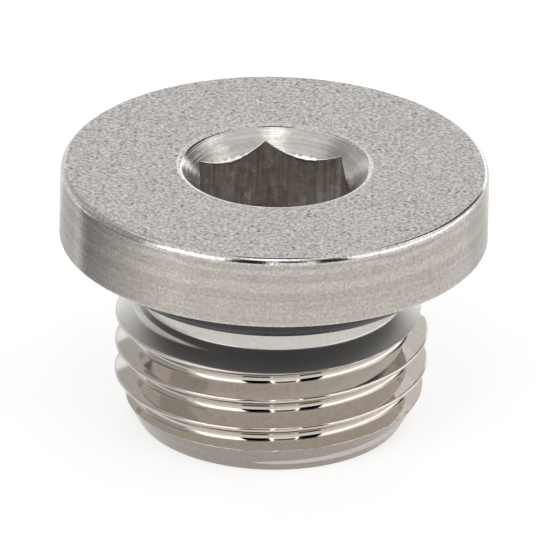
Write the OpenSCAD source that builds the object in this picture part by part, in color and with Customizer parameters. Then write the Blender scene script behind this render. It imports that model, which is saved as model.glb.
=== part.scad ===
// Blanking plug for a pipe port: a turned metal plug with a round flange head, a hexagon
// key socket, a parallel pipe thread and a rubber sealing ring under the flange.
// It stands on the tip of its thread, with the flange up. Millimetres, +Z up.

/* [Flange] */
// Diameter of the flange
flange_d = 18; // [16.5:0.5:24]
// Thickness of the flange
flange_t = 3.2; // [2.5:0.1:5]
// Radius that rounds the top edge of the flange
top_round = 0.6; // [0.1:0.05:1]
// Bevel round the lower edge of the flange
low_bevel = 0.12; // [0.05:0.01:0.4]

/* [Thread] */
// Outside diameter of the thread, over its crests
thread_d = 13.157; // [12:0.001:14]
// Distance from one crest to the next
pitch = 1.337; // [0.9:0.001:1.5]
// Angle between the two flanks of the thread
flank_angle = 55; // [50:1:60]
// Width of the flat on each crest, and on the floor of each groove
crest_w = 0.22; // [0.15:0.01:0.3]
// Length of the shank, from the flange to the tip
shank_l = 8.3; // [7:0.1:14]
// Slope of the taper that leads the thread in, measured from the axis
lead_angle = 30; // [25:1:45]
// How far the small end of that taper lies inside the floor of the groove
lead_step = 0.16; // [0:0.01:0.3]

/* [Neck and sealing ring] */
// How far the plain neck lies inside the floor of the groove, so that the groove runs out
neck_step = 0.22; // [0.05:0.01:0.5]
// Slope of the wall between the neck and the thread, measured from the axis
neck_angle = 60; // [45:1:75]
// Thickness of the sealing ring's round section
ring_section = 1.6; // [1:0.05:1.9]
// Gap between the sealing ring and the neck and flange that it sits against
ring_gap = 0.02; // [0.01:0.01:0.1]
// Length of neck left free below the sealing ring
neck_free_l = 1.1; // [0.6:0.05:2]

/* [Key socket] */
// Size of the hexagon key that turns the plug, across its flats
key_size = 6; // [4:0.5:7]
// Play across the flats between the key and the socket
key_play = 0.04; // [0:0.01:0.1]
// Depth of the hexagon below the top face
socket_depth = 5; // [4:0.1:6]
// Angle of one socket corner from the start of the thread
socket_turn = 37; // [0:1:60]
// How far the countersink reaches past the corners of the hexagon
mouth_margin = 0.51; // [0.1:0.01:1]
// Full angle of the countersink
mouth_angle = 90; // [80:1:120]
// How much smaller than the key the drilled hole is
pilot_step = 0.2; // [0.1:0.05:0.5]
// Depth of the drilled hole below the floor of the hexagon
pilot_depth = 0.8; // [0.2:0.1:1.5]
// Full angle of the drill's point
drill_angle = 118; // [110:1:130]

/* [Hidden] */

// Steps in one turn of the thread, and in a full circle elsewhere
turn_steps = 48;
$fn = 96;
// Steps in the rounding of the flange's top edge
round_steps = 6;
// How far the socket's cutters run past the faces that they open
past = 0.2;

// The groove's flanks rise from its floor to the two crests beside it
flank_slope = tan(flank_angle / 2);
groove_depth = (pitch - 2 * crest_w) / (2 * flank_slope);
thread_r = thread_d / 2;
root_r = thread_r - groove_depth;
// The cutter stands proud of the crests, but leaves half a crest between its own turns
cutter_r = thread_r + crest_w / (4 * flank_slope);
cutter_w = pitch - crest_w / 2;

total_l = shank_l + flange_t;
flange_r = flange_d / 2;
tip_r = root_r - lead_step;
lead_l = (thread_r - tip_r) / tan(lead_angle);
neck_r = root_r - neck_step;
neck_z = shank_l - ring_gap - ring_section - neck_free_l;
neck_wall_l = (thread_r - neck_r) / tan(neck_angle);
ring_r = ring_section / 2;

socket_r = (key_size + key_play) / 2 / cos(30);
socket_z = total_l - socket_depth;
mouth_r = socket_r + mouth_margin;
mouth_l = mouth_r / tan(mouth_angle / 2);
pilot_r = (key_size - pilot_step) / 2;
pilot_z = socket_z - pilot_depth;
drill_l = pilot_r / tan(drill_angle / 2);

// The rounded top edge of the flange, from its side up to its top face
top_edge = [for (step = [0:round_steps])
    let (angle = 90 * step / round_steps)
    [flange_r - top_round * (1 - cos(angle)), total_l - top_round * (1 - sin(angle))]];

// Outline of the turned blank, from the axis at the tip to the axis at the top
module blank_outline() {
    polygon([
        [0, 0],
        [tip_r, 0],
        [thread_r, lead_l],
        [thread_r, neck_z - neck_wall_l],
        [neck_r, neck_z],
        [neck_r, shank_l],
        [flange_r - low_bevel, shank_l],
        [flange_r, shank_l + low_bevel],
        each top_edge,
        [0, total_l]
    ]);
}

// Height of the middle of the groove, after so many steps along the helix
function groove_z(step) = pitch * (step / turn_steps + 0.5);

// The four corners of the cutter's section, after so many steps along the helix
function groove_section(step) =
    let (angle = 360 * step / turn_steps)
    [for (corner = [
        [root_r, -crest_w / 2],
        [cutter_r, -cutter_w / 2],
        [cutter_r, cutter_w / 2],
        [root_r, crest_w / 2]
    ]) [corner[0] * cos(angle), corner[0] * sin(angle), groove_z(step) + corner[1]]];

// Helical cutter: its section climbs a right-hand helix from just below the tip up to the
// neck, where it runs out in the open
module thread_cutter() {
    first = floor(turn_steps * (-cutter_w / 2 / pitch - 0.5));
    last = ceil(turn_steps * ((neck_z + cutter_w / 2) / pitch - 0.5));
    corners = len(groove_section(0));
    end = corners * (last - first);
    points = [for (step = [first:last]) each groove_section(step)];
    sides = [for (s = [0:last - first - 1], c = [0:corners - 1])
        let (a = corners * s + c, b = corners * s + (c + 1) % corners)
        each [[a, b, b + corners], [a, b + corners, a + corners]]];
    caps = [[2, 1, 0], [3, 2, 0], [end, end + 1, end + 2], [end, end + 2, end + 3]];
    polyhedron(points, concat(sides, caps));
}

// Key socket: the drilled hole, the hexagon broached into it and the countersunk mouth
module key_socket() {
    translate([0, 0, pilot_z - drill_l])
        cylinder(h = drill_l, r1 = 0, r2 = pilot_r);
    translate([0, 0, pilot_z])
        cylinder(h = pilot_depth + past, r = pilot_r);
    translate([0, 0, socket_z])
        rotate(socket_turn)
            cylinder(h = socket_depth + past, r = socket_r, $fn = 6);
    translate([0, 0, total_l - mouth_l])
        cylinder(h = mouth_l + past, r1 = 0, r2 = mouth_r * (1 + past / mouth_l));
}

// The body: turned, threaded, drilled and broached from one bar
module plug_body() {
    color("silver")
        difference() {
            rotate_extrude()
                blank_outline();
            thread_cutter();
            key_socket();
        }
}

// The sealing ring: sits on the neck, against the underside of the flange
module sealing_ring() {
    color("dimgray")
        translate([0, 0, shank_l - ring_gap - ring_r])
            rotate_extrude()
                translate([neck_r + ring_gap + ring_r, 0])
                    circle(r = ring_r);
}

plug_body();
sealing_ring();
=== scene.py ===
import math

import bpy
import numpy as np
from mathutils import Matrix


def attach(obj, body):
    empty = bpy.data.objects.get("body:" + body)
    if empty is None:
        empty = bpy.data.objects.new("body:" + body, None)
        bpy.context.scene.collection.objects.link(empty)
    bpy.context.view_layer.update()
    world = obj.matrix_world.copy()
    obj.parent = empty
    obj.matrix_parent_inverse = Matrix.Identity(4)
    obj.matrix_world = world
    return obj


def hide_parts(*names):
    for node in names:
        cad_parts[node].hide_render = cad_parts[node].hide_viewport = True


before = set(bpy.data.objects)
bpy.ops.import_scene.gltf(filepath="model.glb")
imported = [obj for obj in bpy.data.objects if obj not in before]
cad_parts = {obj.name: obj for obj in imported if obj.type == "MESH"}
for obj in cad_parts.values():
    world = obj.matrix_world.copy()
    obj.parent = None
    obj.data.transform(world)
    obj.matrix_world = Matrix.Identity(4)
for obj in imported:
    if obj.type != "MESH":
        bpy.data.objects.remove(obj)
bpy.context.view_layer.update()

# Camera. The photograph looks down on the plug at about 26 degrees, from far off through a
# long lens, and it leans a little, so the plug stands turned clockwise in the frame.
photo_px = 550
sensor_mm = 36.0
look_down = math.radians(25.8)
lean = math.radians(1.15)
camera_far = 0.8
px_per_metre = 23870.0
top_centre = np.array((0.0, 0.0, 0.0115))
top_centre_px = np.array((274.9, 165.3))

ahead = np.array((0.0, math.cos(look_down), -math.sin(look_down)))
level = np.array((1.0, 0.0, 0.0))
upright = np.array((0.0, math.sin(look_down), math.cos(look_down)))
image_right = math.cos(lean) * level + math.sin(lean) * upright
image_up = math.cos(lean) * upright - math.sin(lean) * level
right_px, down_px = photo_px / 2 - top_centre_px
aim = top_centre + (right_px * image_right - down_px * image_up) / px_per_metre
stand = aim - camera_far * ahead

camera_lens = bpy.data.cameras.new("photo_camera")
camera_lens.sensor_width = sensor_mm
camera_lens.lens = px_per_metre * camera_far * sensor_mm / photo_px
camera_lens.clip_start = 0.05
camera_lens.clip_end = 20.0
camera = bpy.data.objects.new("photo_camera", camera_lens)
bpy.context.scene.collection.objects.link(camera)
camera_axes = np.column_stack((image_right, image_up, -ahead, stand)).tolist()
camera.matrix_world = Matrix(camera_axes + [[0.0, 0.0, 0.0, 1.0]])
bpy.context.scene.camera = camera

# Plug body. One piece of brass, turned from bar with a flange, a parallel pipe thread and a
# plain neck, drilled and broached for a hexagon key, then nickel plated all over. The top
# is blasted matt, the rim and the countersink keep their tool lines, the thread is bright.
mm = 0.001
columns = 180
# Half a step round, so that a column runs down each corner of the hexagon.
angle = (np.arange(columns) + 0.5) * 2 * math.pi / columns
cos_angle, sin_angle = np.cos(angle), np.sin(angle)
all_round = np.ones(columns)
blasted, rim, edge, mouth, socket, bright, lead, plain = range(8)
rings = []
bands = []


def ring_at(radius, height):
    """Adds a ring of points, whose radius and height in mm may change round the plug."""
    radius, height = radius * all_round, height * all_round
    rings.append(np.column_stack((radius * cos_angle, radius * sin_angle, height)))


def facing(out, up):
    """Normals that face outward and up by the same amounts all round."""
    return np.column_stack((out * cos_angle, out * sin_angle, up * all_round))


def skin(normals_before, normals_after, finish):
    """Joins the last two rings with a band of faces, with a normal for each corner."""
    next_before = np.roll(normals_before, -1, axis=0)
    next_after = np.roll(normals_after, -1, axis=0)
    corners = np.stack((normals_before, next_before, next_after, normals_after), axis=1)
    bands.append((len(rings) - 2, corners, finish * np.ones(columns, int)))


def turn_outline(outline):
    """Turns an outline that starts on the last ring. Each corner of it has a radius, a height,
    a rounding, the finish of the run after it, and the share of the rounding that is worn
    bright before that finish takes over."""
    arc_steps = 12
    spots = [np.array(corner[:2], float) for corner in outline]
    runs = [after - before for before, after in zip(spots, spots[1:])]
    normals = [np.array((run[1], -run[0])) / np.hypot(*run) for run in runs]
    stops = []
    for i, (spot, corner) in enumerate(zip(spots, outline)):
        rounding, finish, worn = corner[2:]
        before = normals[max(i - 1, 0)]
        after = normals[min(i, len(normals) - 1)]
        if not rounding:
            stops.append((spot, before, after, finish))
            continue
        swing = math.atan2(before[0] * after[1] - before[1] * after[0], before @ after)
        side = math.copysign(1.0, swing)
        middle = spot - side * rounding * (before + after) / (1 + before @ after)
        for step in range(arc_steps + 1):
            part = swing * step / arc_steps
            normal = np.array((
                before[0] * math.cos(part) - before[1] * math.sin(part),
                before[0] * math.sin(part) + before[1] * math.cos(part),
            ))
            stops.append((middle + side * rounding * normal, normal, normal,
                          finish if step >= worn * arc_steps else edge))
    for leave, reach in zip(stops, stops[1:]):
        ring_at(*reach[0])
        skin(facing(*leave[2]), facing(*reach[1]), leave[3])


# The tip: a flat turned face, with its rim eased.
tip_r = 5.5569
tip_ease = 0.05
ring_at(0.0, 0.0)
ring_at(tip_r - tip_ease, 0.0)
skin(facing(0, -1), facing(0, -1), lead)

# The thread: 55 degree flanks, rounded crests and roots, a tapered lead at the tip and a
# sloping wall where it meets the neck.
pitch = 1.337
thread_r = 6.5785
flank = math.radians(27.5)
crest_round = 0.11
root_round = 0.3
lead_slope = math.tan(math.radians(30))
neck_r = 5.4969
neck_z = 5.58
neck_slope = math.tan(math.radians(60))
wall_ease = 0.05
crest_ease = 0.03
neck_fillet = 0.06
fillet_room = 0.12
neck_start = neck_z + fillet_room


def soft_least(a, b, ease):
    """The smaller of two values, eased where they cross."""
    return np.minimum(a, b) - np.maximum(ease - np.abs(a - b), 0) ** 2 / (4 * ease)


def thread_radius(height, turned):
    """Radius of the threaded shank at a height in mm and an angle in radians."""
    from_crest = np.abs((height / pitch - turned / (2 * math.pi) + 0.5) % 1 - 0.5) * pitch
    from_root = pitch / 2 - from_crest
    crest_half, root_half = crest_round * math.cos(flank), root_round * math.cos(flank)
    crest_drop, root_rise = (part * (1 - math.sin(flank)) for part in (crest_round, root_round))
    crest_arc = crest_round - np.sqrt(np.maximum(crest_round ** 2 - from_crest ** 2, 0))
    root_arc = root_round - np.sqrt(np.maximum(root_round ** 2 - from_root ** 2, 0))
    run = crest_drop + (from_crest - crest_half) / math.tan(flank)
    depth = crest_drop + root_rise + (pitch / 2 - crest_half - root_half) / math.tan(flank)
    drop = np.where(from_crest < crest_half, crest_arc, run)
    drop = np.where(from_root < root_half, depth - root_arc, drop)
    return thread_r - drop


def shank_radius(height, turned):
    """The thread, cut back by the lead taper and by the wall above it, down to the neck."""
    height = np.maximum(height, 0)
    taper = tip_r + height * lead_slope
    wall = neck_r + (neck_z - height) * neck_slope
    radius = soft_least(thread_radius(height, turned), taper, crest_ease)
    radius = soft_least(radius, wall, wall_ease)
    radius = -soft_least(-radius, -neck_r + 0 * radius, neck_fillet)
    ease = np.maximum(1 - height / tip_ease, 0)
    return radius - tip_ease * (1 - np.sqrt(1 - ease ** 2))


# Finer rows stand in for the lowest even ones, where the rim of the tip is eased.
row_step = 0.02
tip_rows = (0.0, 0.003, 0.011, 0.024, 0.04)
rows_replaced = 3
row_count = round(neck_start / row_step) + 1
heights = np.concatenate((
    tip_rows,
    np.linspace(rows_replaced * row_step, neck_start, row_count - rows_replaced),
))
nudge = 1e-4
steepest = 20.0
taper_reach = 0.012
for row, height in enumerate(heights):
    here = shank_radius(height, angle)
    rise = shank_radius(height + nudge, angle) - shank_radius(height - nudge, angle)
    rise = rise / (2 * nudge) if height >= nudge else steepest * all_round
    sweep = shank_radius(height, angle + nudge) - shank_radius(height, angle - nudge)
    sweep = sweep / (2 * nudge) / here
    normals = np.column_stack((
        cos_angle + sweep * sin_angle, sin_angle - sweep * cos_angle, -rise))
    normals /= np.linalg.norm(normals, axis=1)[:, None]
    if row:
        ring_at(here, height)
        on_taper = here > tip_r + height * lead_slope - taper_reach
        skin(before_normals, normals, np.where(on_taper, lead, bright))
    before_normals = normals

# The neck, the flange and the countersunk mouth of the key socket. The flange's top edge is
# worn bright over two thirds of its rounding, and the other edges over all of theirs.
shank_l = 8.3
total_l = 11.5
flange_r = 8.995
neck_round = 0.15
low_round = 0.1
top_round = 0.36
top_worn = 0.68
mouth_round = 0.34
mouth_r = 3.9972
cone_end = 3.6
turn_outline((
    (neck_r, neck_start, 0, plain, 0),
    (neck_r, shank_l, neck_round, rim, 1),
    (flange_r, shank_l, low_round, rim, 1),
    (flange_r, total_l, top_round, blasted, top_worn),
    (mouth_r, total_l, mouth_round, mouth, 1),
    (cone_end, total_l - (mouth_r - cone_end), 0, mouth, 0),
))

# The hexagon: six flat broached walls, which the countersink cuts to six arches. The lip is
# eased, most of all in the middle of each arch, and the broach leaves that easing ragged.
hexagon_half = 3.02
socket_turn = math.radians(37)
sixth = math.pi / 3
socket_floor = 6.5
lip_least = 0.025
lip_more = 0.15
lip_steps = 4
ragged_mid, ragged_swing, ragged_gain = 0.6, 0.4, 2.5
short_waves, shorter_waves, wave_shift = 17, 29, 1.0
waves = ragged_gain * np.sin(short_waves * angle + wave_shift) * np.sin(shorter_waves * angle)
ragged = ragged_mid + ragged_swing * np.clip(waves, -1, 1)
in_flat = (angle - socket_turn) % sixth - sixth / 2
lip_ease = lip_least + lip_more * ragged * (1 - (2 * in_flat / sixth) ** 2) ** 2
hexagon_r = hexagon_half / np.cos(in_flat)
half_column = math.pi / columns
flat_turn = socket_turn + sixth * (np.floor((angle + half_column - socket_turn) / sixth) + 0.5)
flat_normals = np.column_stack((-np.cos(flat_turn), -np.sin(flat_turn), 0 * all_round))
diagonal = math.sqrt(0.5)
cone_normals = facing(-diagonal, diagonal)
brink_z = total_l - (mouth_r - hexagon_r)
lip_normals = cone_normals
for step in range(lip_steps + 1):
    part = step / lip_steps
    on_cone, on_wall = (1 - part) ** 2, part ** 2
    ring_at(hexagon_r + lip_ease * diagonal * on_cone,
            brink_z + lip_ease * (diagonal * on_cone - on_wall))
    turned_over = cone_normals * (1 - part) + flat_normals * part
    turned_over /= np.linalg.norm(turned_over, axis=1)[:, None]
    skin(lip_normals, turned_over, edge if step else mouth)
    lip_normals = turned_over
ring_at(hexagon_r, socket_floor)
wall_normals = np.repeat(flat_normals[:, None], 4, axis=1)
bands.append((len(rings) - 2, wall_normals, np.full(columns, socket)))

# The drilled hole below the floor of the hexagon, with the point that the drill leaves.
pilot_r = 2.9
pilot_z = 5.7
drill_point = 3.958
drill_fall = pilot_z - drill_point
drill_side = math.hypot(pilot_r, drill_fall)
drill_normals = facing(-drill_fall / drill_side, pilot_r / drill_side)
ring_at(pilot_r, socket_floor)
skin(facing(0, 1), facing(0, 1), socket)
ring_at(pilot_r, pilot_z)
skin(facing(-1, 0), facing(-1, 0), socket)
ring_at(0.0, drill_point)
skin(drill_normals, drill_normals, mouth)

# The bands go together as one closed mesh, with a single point at each end.
ring_points = [rings[0][:1]] + rings[1:-1] + [rings[-1][:1]]
starts = np.cumsum([0] + [len(points) for points in ring_points])
faces, corner_normals, finishes = [], [], []
column = np.arange(columns)
next_column = np.roll(column, -1)
for first, corners, finish in bands:
    low, high = starts[first], starts[first + 1]
    if first == 0:
        face_points = (low + 0 * column, high + next_column, high + column)
        corners = corners[:, (0, 2, 3)]
    elif first == len(rings) - 2:
        face_points = (low + column, low + next_column, high + 0 * column)
        corners = corners[:, (0, 1, 2)]
    else:
        face_points = (low + column, low + next_column, high + next_column, high + column)
    faces += np.column_stack(face_points).tolist()
    corner_normals.append(corners.reshape(-1, 3))
    finishes.append(finish)

body_mesh = bpy.data.meshes.new("nickel_plug_body")
body_mesh.from_pydata((np.concatenate(ring_points) * mm).tolist(), [], faces)
body_mesh.polygons.foreach_set("material_index", np.concatenate(finishes).astype(np.int32))
body_mesh.polygons.foreach_set("use_smooth", np.ones(len(faces), bool))
body_mesh.normals_split_custom_set(np.concatenate(corner_normals).tolist())
body_mesh.update()
plug_body = bpy.data.objects.new("nickel_plug_body", body_mesh)
bpy.context.scene.collection.objects.link(plug_body)


def wire(tree, kind, inputs, **settings):
    """Adds a node, with its settings, and sets or links its inputs."""
    made = tree.nodes.new(kind)
    for name, value in settings.items():
        setattr(made, name, value)
    for name, value in inputs.items():
        if isinstance(value, bpy.types.NodeSocket):
            tree.links.new(value, made.inputs[name])
        else:
            made.inputs[name].default_value = value
    return made


def new_group(name, ins, outs):
    """Starts a shader node group with named number inputs and outputs."""
    tree = bpy.data.node_groups.new(name, "ShaderNodeTree")
    number = "NodeSocketFloat"
    for socket_name, value in ins.items():
        made = tree.interface.new_socket(socket_name, in_out="INPUT", socket_type=number)
        made.default_value = value
    for socket_name in outs:
        tree.interface.new_socket(socket_name, in_out="OUTPUT", socket_type=number)
    given = tree.nodes.new("NodeGroupInput").outputs
    return tree, given, tree.nodes.new("NodeGroupOutput").inputs


# Blasted grain: a fine even speckle with small dark pits, as tumbling and blasting leave.
pit_brink = 0.06
grain_group, given, put_out = new_group(
    "blasted_grain", {"Grains per mm": 9.0, "Pits per mm": 3.0, "Pit size": 0.25},
    ("Grain", "Pits"))
place = wire(grain_group, "ShaderNodeTexCoord", {}).outputs["Object"]
in_mm = wire(grain_group, "ShaderNodeVectorMath", {
    0: place, "Scale": 1 / mm}, operation="SCALE").outputs["Vector"]
speckle = wire(grain_group, "ShaderNodeTexNoise", {
    "Vector": in_mm, "Scale": given["Grains per mm"], "Detail": 2.0, "Roughness": 0.6})
grain_group.links.new(speckle.outputs["Fac"], put_out["Grain"])
pit_cells = wire(grain_group, "ShaderNodeTexVoronoi", {
    "Vector": in_mm, "Scale": given["Pits per mm"], "Randomness": 1.0})
pit_luck = wire(grain_group, "ShaderNodeSeparateColor", {"Color": pit_cells.outputs["Color"]})
pit_reach = wire(grain_group, "ShaderNodeMath", {
    0: pit_luck.outputs["Red"], 1: given["Pit size"]}, operation="MULTIPLY")
pit_depth = wire(grain_group, "ShaderNodeMath", {
    0: pit_reach.outputs[0], 1: pit_cells.outputs["Distance"]}, operation="SUBTRACT")
pit_mask = wire(grain_group, "ShaderNodeMapRange", {
    "Value": pit_depth.outputs[0], "From Min": 0.0, "From Max": pit_brink})
grain_group.links.new(pit_mask.outputs["Result"], put_out["Pits"])

# Tool lines: the fine rings that a turning tool leaves, and the upright streaks of a broach.
# It also puts out the height in mm, for a finish that changes up the plug.
wavers_per_mm, waver_mm = 0.5, 0.4
streak_share = 0.08
lines_group, given, put_out = new_group(
    "tool_lines", {"Lines per mm": 8.0}, ("Rings", "Streaks", "Height"))
place = wire(lines_group, "ShaderNodeTexCoord", {}).outputs["Object"]
in_mm = wire(lines_group, "ShaderNodeVectorMath", {
    0: place, "Scale": 1 / mm}, operation="SCALE").outputs["Vector"]
parts = wire(lines_group, "ShaderNodeSeparateXYZ", {0: in_mm}).outputs
lines_group.links.new(parts["Z"], put_out["Height"])
flat_place = wire(lines_group, "ShaderNodeCombineXYZ", {"X": parts["X"], "Y": parts["Y"]})
from_axis = wire(lines_group, "ShaderNodeVectorMath", {
    0: flat_place.outputs[0]}, operation="LENGTH")
waver = wire(lines_group, "ShaderNodeTexNoise", {
    "Vector": in_mm, "Scale": wavers_per_mm, "Detail": 1.0})
waver_by = wire(lines_group, "ShaderNodeMath", {
    0: waver.outputs["Fac"], 1: waver_mm}, operation="MULTIPLY")
ring_place = wire(lines_group, "ShaderNodeCombineXYZ", {
    "X": from_axis.outputs["Value"], "Y": parts["Z"], "Z": waver_by.outputs[0]})
drawn_out = wire(lines_group, "ShaderNodeMath", {
    0: parts["Z"], 1: streak_share}, operation="MULTIPLY")
streak_place = wire(lines_group, "ShaderNodeCombineXYZ", {
    "X": parts["X"], "Y": parts["Y"], "Z": drawn_out.outputs[0]})
for socket_name, line_place in (("Rings", ring_place), ("Streaks", streak_place)):
    lines = wire(lines_group, "ShaderNodeTexNoise", {
        "Vector": line_place.outputs[0], "Scale": given["Lines per mm"],
        "Detail": 2.0, "Roughness": 0.5})
    lines_group.links.new(lines.outputs["Fac"], put_out[socket_name])

relief_high = 0.01 * mm
noise_low, noise_high = 0.3, 0.7


def nickel(name, tone, roughness, grain, lines, pits=(2.0, 0.1, 0.2), along="Rings", duller_and_painted_light=None):
    """A nickel finish. Its grain and its lines have a number per mm, a shade and a relief, and
    its pits a number per mm, a size and a shade.

    Where a duller finish is given, it turns to that roughness and tone between two heights in mm; the
    paler tone there is painted light."""
    grains_per_mm, grain_shade, grain_relief = grain
    lines_per_mm, line_shade, line_relief = lines
    pits_per_mm, pit_size, pit_shade = pits
    material = bpy.data.materials.new(name)
    material.use_nodes = True
    tree = material.node_tree
    shader = tree.nodes["Principled BSDF"]
    shader.inputs["Metallic"].default_value = 1.0
    grains = wire(tree, "ShaderNodeGroup", {
        "Grains per mm": grains_per_mm, "Pits per mm": pits_per_mm, "Pit size": pit_size},
        node_tree=grain_group).outputs
    tool = wire(tree, "ShaderNodeGroup", {"Lines per mm": lines_per_mm}, node_tree=lines_group).outputs
    marked = wire(tree, "ShaderNodeMath", {
        0: grains["Pits"], 1: -pit_shade, 2: 1.0}, operation="MULTIPLY_ADD").outputs[0]
    for noise, share in ((grains["Grain"], grain_shade), (tool[along], line_shade)):
        shade = wire(tree, "ShaderNodeMapRange", {
            "Value": noise, "From Min": noise_low, "From Max": noise_high,
            "To Min": 1 - share, "To Max": 1 + share}).outputs["Result"]
        marked = wire(tree, "ShaderNodeMath", {0: marked, 1: shade}, operation="MULTIPLY").outputs[0]
    colour = wire(tree, "ShaderNodeVectorMath", {
        0: tone, "Scale": marked}, operation="SCALE").outputs["Vector"]
    mild = 0.15
    gloss = wire(tree, "ShaderNodeMapRange", {
        "Value": grains["Grain"], "From Min": noise_low, "From Max": noise_high,
        "To Min": roughness * (1 + mild), "To Max": roughness * (1 - mild)}).outputs["Result"]
    if duller_and_painted_light:
        dull_roughness, painted_light_tone, dull_from, dull_to = duller_and_painted_light
        share = wire(tree, "ShaderNodeMapRange", {
            "Value": tool["Height"], "From Min": dull_from, "From Max": dull_to}).outputs["Result"]
        # Painted light: the duller part takes a paler tone, which lifts the dark reflection of the
        # rubber ring on the wall above the thread.
        painted_light_colour = wire(tree, "ShaderNodeVectorMath", {
            0: painted_light_tone, "Scale": marked}, operation="SCALE").outputs["Vector"]
        # A Mix node's inputs 4 and 5 and its output 1 are its vectors.
        colour = wire(tree, "ShaderNodeMix", {
            0: share, 4: colour, 5: painted_light_colour}, data_type="VECTOR").outputs[1]
        gloss = wire(tree, "ShaderNodeMath", {
            0: share, 1: dull_roughness - roughness, 2: gloss}, operation="MULTIPLY_ADD").outputs[0]
    tree.links.new(colour, shader.inputs["Base Color"])
    tree.links.new(gloss, shader.inputs["Roughness"])
    lined = wire(tree, "ShaderNodeBump", {
        "Strength": line_relief, "Distance": relief_high, "Height": tool[along]})
    relief = wire(tree, "ShaderNodeBump", {
        "Strength": grain_relief, "Distance": relief_high, "Height": grains["Grain"],
        "Normal": lined.outputs["Normal"]})
    tree.links.new(relief.outputs["Normal"], shader.inputs["Normal"])
    return material


# The finishes, in the order of their numbers above. The wall above the thread is duller, and is
# painted paler there: a painted light that lifts the dark reflection on it.
matt_nickel = (0.50, 0.481, 0.466)
turned_nickel = (0.455, 0.418, 0.381)
edge_nickel = (0.54, 0.515, 0.49)
mouth_nickel = (0.505, 0.475, 0.446)
# Painted light: the socket's tone is paler than the plating, to lighten the recess.
socket_painted_light_nickel = (0.655, 0.619, 0.593)
bright_nickel = (0.55, 0.505, 0.46)
# Painted shade: the lead's tone is darker than the plating, for the shaded table that it reflects.
lead_painted_shade_nickel = (0.326, 0.292, 0.262)
neck_nickel = (0.55, 0.527, 0.487)
# Painted light: the wall above the thread is painted paler than the plating.
shoulder_painted_light_nickel = (0.645, 0.632, 0.618)
shoulder_roughness = 0.36
shoulder_from, shoulder_to = 4.6, 4.95
for finish in (
    nickel("blasted_top", matt_nickel, roughness=0.56,
           grain=(7.2, 0.38, 0.4), lines=(6.0, 0.0, 0.0), pits=(3.4, 0.30, 0.5)),
    nickel("turned_rim", turned_nickel, roughness=0.22,
           grain=(9.0, 0.20, 0.2), lines=(5.5, 0.11, 1.0)),
    nickel("eased_edge", edge_nickel, roughness=0.14,
           grain=(8.5, 0.30, 0.3), lines=(6.0, 0.0, 0.0)),
    nickel("turned_mouth", mouth_nickel, roughness=0.22,
           grain=(5.0, 0.08, 0.1), lines=(7.0, 0.16, 0.8)),
    nickel("broached_socket_painted_light", socket_painted_light_nickel, roughness=0.30,
           grain=(3.2, 0.24, 0.1), lines=(5.0, 0.27, 0.3), pits=(2.0, 0.0, 0.0), along="Streaks"),
    nickel("bright_thread", bright_nickel, roughness=0.07,
           grain=(5.0, 0.05, 0.05), lines=(6.0, 0.02, 0.05),
           duller_and_painted_light=(shoulder_roughness, shoulder_painted_light_nickel, shoulder_from, shoulder_to)),
    nickel("turned_lead_painted_shade", lead_painted_shade_nickel, roughness=0.24,
           grain=(9.0, 0.10, 0.1), lines=(8.0, 0.05, 0.2)),
    nickel("plain_neck", neck_nickel, roughness=0.16,
           grain=(6.0, 0.06, 0.1), lines=(6.0, 0.06, 0.3)),
):
    body_mesh.materials.append(finish)

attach(plug_body, "root")
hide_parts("plug_body")

# Sealing ring. A moulded ring of black nitrile rubber, round in section, stretched over the
# neck and pushed up against the flange. The mould leaves a hair of a line round its outside.
ring_mid_r = 6.3169
ring_mid_z = 7.48
ring_half = 0.8
seam_high = 0.012
seam_half = math.radians(3.0)
round_steps = 60
ring_columns = 240
ring_angle = np.arange(ring_columns) * 2 * math.pi / ring_columns
section_angle = np.arange(round_steps) * 2 * math.pi / round_steps
from_seam = np.minimum(section_angle, 2 * math.pi - section_angle)
section_r = ring_half - seam_high + seam_high * np.exp(-(from_seam / seam_half) ** 2)
ring_r = ring_mid_r + section_r * np.cos(section_angle)
ring_z = ring_mid_z + section_r * np.sin(section_angle)
ring_vertices = np.stack((
    np.outer(np.cos(ring_angle), ring_r),
    np.outer(np.sin(ring_angle), ring_r),
    np.outer(np.ones(ring_columns), ring_z),
), axis=2).reshape(-1, 3)
turn_index, round_index = np.meshgrid(
    np.arange(ring_columns), np.arange(round_steps), indexing="ij")
next_turn, next_round = (turn_index + 1) % ring_columns, (round_index + 1) % round_steps
ring_faces = np.stack((
    turn_index * round_steps + round_index,
    next_turn * round_steps + round_index,
    next_turn * round_steps + next_round,
    turn_index * round_steps + next_round,
), axis=2).reshape(-1, 4)
ring_mesh = bpy.data.meshes.new("rubber_sealing_ring")
ring_mesh.from_pydata((ring_vertices * mm).tolist(), [], ring_faces.tolist())
ring_mesh.polygons.foreach_set("use_smooth", np.ones(len(ring_faces), bool))
ring_mesh.update()
sealing_ring = bpy.data.objects.new("rubber_sealing_ring", ring_mesh)
bpy.context.scene.collection.objects.link(sealing_ring)

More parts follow.
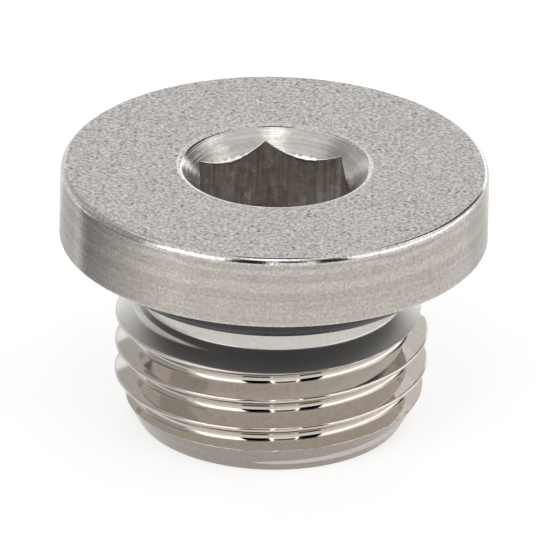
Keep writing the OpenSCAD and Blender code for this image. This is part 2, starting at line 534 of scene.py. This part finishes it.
# The rubber: black, with a faint grey bloom along the lines of the mould and in its grain.
rubber_black = (0.008, 0.008, 0.010, 1.0)
rubber_bloom = (0.062, 0.061, 0.064, 1.0)
marks_low, marks_high = 0.38, 0.62
sleek, dull = 0.24, 0.38
rubber_relief = 0.25
rubber = bpy.data.materials.new("black_rubber")
rubber.use_nodes = True
tree = rubber.node_tree
shader = tree.nodes["Principled BSDF"]
shader.inputs["Specular IOR Level"].default_value = 0.4
grains = wire(tree, "ShaderNodeGroup", {"Grains per mm": 12.0}, node_tree=grain_group).outputs
mould_lines = wire(tree, "ShaderNodeGroup", {"Lines per mm": 3.5}, node_tree=lines_group).outputs
both_marks = wire(tree, "ShaderNodeMath", {
    0: grains["Grain"], 1: mould_lines["Rings"]}, operation="ADD")
marks = wire(tree, "ShaderNodeMath", {
    0: both_marks.outputs[0], 1: 0.5}, operation="MULTIPLY").outputs[0]
bloom = wire(tree, "ShaderNodeValToRGB", {"Fac": marks})
ramp = bloom.color_ramp.elements
ramp[0].position, ramp[0].color = marks_low, rubber_black
ramp[1].position, ramp[1].color = marks_high, rubber_bloom
tree.links.new(bloom.outputs["Color"], shader.inputs["Base Color"])
gloss = wire(tree, "ShaderNodeMapRange", {
    "Value": marks, "From Min": marks_low, "From Max": marks_high, "To Min": sleek, "To Max": dull})
tree.links.new(gloss.outputs["Result"], shader.inputs["Roughness"])
relief = wire(tree, "ShaderNodeBump", {
    "Strength": rubber_relief, "Distance": relief_high, "Height": grains["Grain"]})
tree.links.new(relief.outputs["Normal"], shader.inputs["Normal"])
ring_mesh.materials.append(rubber)

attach(sealing_ring, "root")
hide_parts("sealing_ring")

# Studio. A wide white table in a white room, under a soft lamp. White screens and grey and
# black cards stand round the plug, where only its reflections show them, and give the bright
# metal its white and dark lines. Patches of painted shade lie on the table, which also only
# the reflections show.
table_r = 6.0
table_z = -0.00001
table_steps = 96
white = (1.0, 1.0, 1.0, 1.0)
black = (0.0, 0.0, 0.0, 1.0)
paper_grey = (0.5, 0.5, 0.5, 1.0)
paper_glow = 0.66
table_angle = np.arange(table_steps) * 2 * math.pi / table_steps
table_mesh = bpy.data.meshes.new("white_table")
table_mesh.from_pydata(
    [(table_r * math.cos(a), table_r * math.sin(a), table_z) for a in table_angle], [],
    [list(range(table_steps))])
table = bpy.data.objects.new("white_table", table_mesh)
bpy.context.scene.collection.objects.link(table)
paper = bpy.data.materials.new("white_table_paper")
paper.use_nodes = True
tree = paper.node_tree
shader = tree.nodes["Principled BSDF"]
shader.inputs["Base Color"].default_value = paper_grey
shader.inputs["Roughness"].default_value = 0.9
shader.inputs["Specular IOR Level"].default_value = 0.0
shader.inputs["Emission Color"].default_value = white


def seen_white(tree):
    """1 for a ray from the camera, or one that metal or glass sends on, and 0 otherwise."""
    rays = wire(tree, "ShaderNodeLightPath", {}).outputs
    mirrored = wire(tree, "ShaderNodeMath", {
        0: rays["Is Camera Ray"], 1: rays["Is Glossy Ray"]}, operation="MAXIMUM")
    return wire(tree, "ShaderNodeMath", {
        0: mirrored.outputs[0], 1: rays["Is Transmission Ray"]}, operation="MAXIMUM").outputs[0]


glow = wire(tree, "ShaderNodeMath", {0: seen_white(tree), 1: paper_glow}, operation="MULTIPLY")
tree.links.new(glow.outputs[0], shader.inputs["Emission Strength"])
table_mesh.materials.append(paper)


def stage_card(name, points, strength, card_faces=((0, 1, 2, 3),)):
    """A card or screen of the studio, or a patch of painted shade on the table, which only the plug's
    reflections show.
    """
    card_mesh = bpy.data.meshes.new(name)
    card_mesh.from_pydata(points, [], card_faces)
    card = bpy.data.objects.new(name, card_mesh)
    bpy.context.scene.collection.objects.link(card)
    cloth = bpy.data.materials.new(name)
    cloth.use_nodes = True
    shader = cloth.node_tree.nodes["Principled BSDF"]
    shader.inputs["Base Color"].default_value = black
    shader.inputs["Specular IOR Level"].default_value = 0.0
    shader.inputs["Emission Color"].default_value = white
    shader.inputs["Emission Strength"].default_value = strength
    card_mesh.materials.append(cloth)
    card.visible_camera = False
    card.visible_shadow = False
    return card


# A dark card hangs above and a little in front.
above_y, above_z, above_half = -0.4, 1.8, 0.36
above_glow = 0.1
stage_card("dark_card_above", [
    (x * above_half, above_y + y * above_half, above_z)
    for x, y in ((-1, -1), (1, -1), (1, 1), (-1, 1))], above_glow)

# Darker patches of painted shade lie on the table, which only the plug's reflections show,
# each a hair above the one before: corners in mm, and strength.
lying_z, lying_gap = 0.0003, 0.0001
for layer, (name, corners, strength) in enumerate((
    ("painted_shade_and_light_left", ((-19.3, 4.1), (-40.4, 19.4), (-60.0, -34.0), (-18.0, -25.0)), 1.0),
    ("painted_shade_strip_left", ((-34.0, 9.1), (-580.0, 155.0), (-548.0, -244.0), (-33.0, -14.7)), 0.3),
    ("painted_shade_back_left", ((-8.0, 1.0), (-8.0, 12.0), (-50.0, 50.0), (-50.0, 27.0)), 0.72),
    ("painted_shade_back_right", ((10.0, 4.0), (50.0, 20.0), (50.0, 50.0), (10.0, 14.0)), 0.82),
    ("painted_shade_front_left", ((-6.5, -7.5), (-10.5, -0.5), (-13.5, -5.0), (-9.5, -10.0)), 0.75),
)):
    height = lying_z + lying_gap * layer
    lying = stage_card(name, [(x * mm, y * mm, height) for x, y in corners], strength)
    lying.visible_diffuse = False

# The first of them is graded from painted shade, dark at its back, to painted light, white at its
# front.
shade_back, shade_front = 8 * mm, -22 * mm
dark_glow, white_glow = 0.2, 1.25
tree = bpy.data.materials["painted_shade_and_light_left"].node_tree
across = wire(tree, "ShaderNodeSeparateXYZ", {
    0: wire(tree, "ShaderNodeTexCoord", {}).outputs["Object"]}).outputs["Y"]
fade = wire(tree, "ShaderNodeMapRange", {
    "Value": across, "From Min": shade_back, "From Max": shade_front,
    "To Min": dark_glow, "To Max": white_glow})
tree.links.new(fade.outputs["Result"], tree.nodes["Principled BSDF"].inputs["Emission Strength"])

# The screens and cards that stand round the plug, each a little nearer than the one before:
# bearings in degrees from the front round to the right, the slopes at which the plug sees
# their lower and upper edges, and strength.
screen_r, screen_gap = 2.0, 0.01
screen_steps = 24
for layer, (name, bearing, low, high, strength) in enumerate((
    ("left_softbox", (-64.0, -24.0), (4.0, 4.0), (43.0, 43.0), 2.2),
    ("left_black_card", (-24.0, -1.2), (0.0, 0.0), (45.0, 45.0), 0.0),
    ("left_slit", (-1.2, 1.2), (0.0, 0.0), (40.0, 40.0), 3.0),
    ("high_slit", (-1.2, 1.2), (45.0, 45.0), (72.0, 72.0), 4.0),
    ("middle_white_card", (1.2, 19.8), (0.0, 0.0), (17.0, 17.0), 1.3),
    ("middle_dark_card", (1.2, 19.8), (17.0, 17.0), (45.0, 45.0), 0.16),
    ("black_card_over_slit", (-1.2, 1.2), (40.0, 40.0), (45.0, 45.0), 0.06),
    ("right_slit", (19.8, 22.0), (0.0, 0.0), (40.0, 40.0), 2.4),
    ("right_black_card", (22.0, 41.0), (0.0, 0.0), (45.0, 45.0), 0.0),
    ("right_softbox", (41.0, 124.0), (4.0, 0.0), (41.0, 13.0), 2.0),
    ("right_high_screen", (84.0, 110.0), (32.0, 30.0), (48.0, 41.0), 1.7),
    ("left_grey_card", (-120.0, -72.0), (0.0, 0.0), (45.0, 45.0), 0.5),
    ("back_right_black_card", (97.0, 141.0), (56.0, 40.0, 31.0, 19.0, 3.0),
     (71.0, 64.0, 54.0, 44.0, 33.0), 0.05),
    ("back_right_grey_card", (143.0, 163.0), (4.0, 4.0), (34.0, 34.0), 0.9),
    ("back_right_softbox", (143.0, 175.0), (0.0, 0.0), (13.0, 8.0), 2.2),
    ("back_screen", (163.0, 203.0), (8.0, 8.0), (30.0, 30.0), 1.3),
    ("back_left_grey_card", (204.0, 238.0), (16.0, 16.0), (60.0, 60.0), 0.62),
)):
    away = screen_r - screen_gap * layer
    along = np.linspace(0, 1, screen_steps + 1)
    bearings = np.radians(np.interp(along, (0, 1), bearing))
    feet = np.column_stack((away * np.sin(bearings), -away * np.cos(bearings)))
    points = [(x, y, away * math.tan(math.radians(slope))) for ends in (low, high)
              for (x, y), slope in zip(feet, np.interp(along, np.linspace(0, 1, len(ends)), ends))]
    above = screen_steps + 1
    screen_faces = [(i, i + 1, i + 1 + above, i + above) for i in range(screen_steps)]
    stage_card(name, points, strength, screen_faces)

# The lamp hangs in front and points at the plug.
lamp_front, lamp_high = 0.75, 1.3
lamp_light = bpy.data.lights.new("soft_lamp_above", "AREA")
lamp_light.shape = "DISK"
lamp_light.size = 0.64
lamp_light.energy = 1.3
lamp = bpy.data.objects.new("soft_lamp_above", lamp_light)
lamp.location = (0.0, -lamp_front, lamp_high)
lamp.rotation_euler = (math.atan2(lamp_front, lamp_high), 0.0, 0.0)
bpy.context.scene.collection.objects.link(lamp)
lamp.visible_camera = False

# The room is white to the camera and in reflections, and lights the plug a little less.
room_light = 0.7
room = bpy.data.worlds.new("white_room")
bpy.context.scene.world = room
room.use_nodes = True
tree = room.node_tree
backdrop = tree.nodes["Background"]
backdrop.inputs["Color"].default_value = white
dimmed = wire(tree, "ShaderNodeMapRange", {
    "Value": seen_white(tree), "To Min": room_light, "To Max": 1.0})
tree.links.new(dimmed.outputs["Result"], backdrop.inputs["Strength"])
bpy.context.scene.view_settings.view_transform = "Standard"
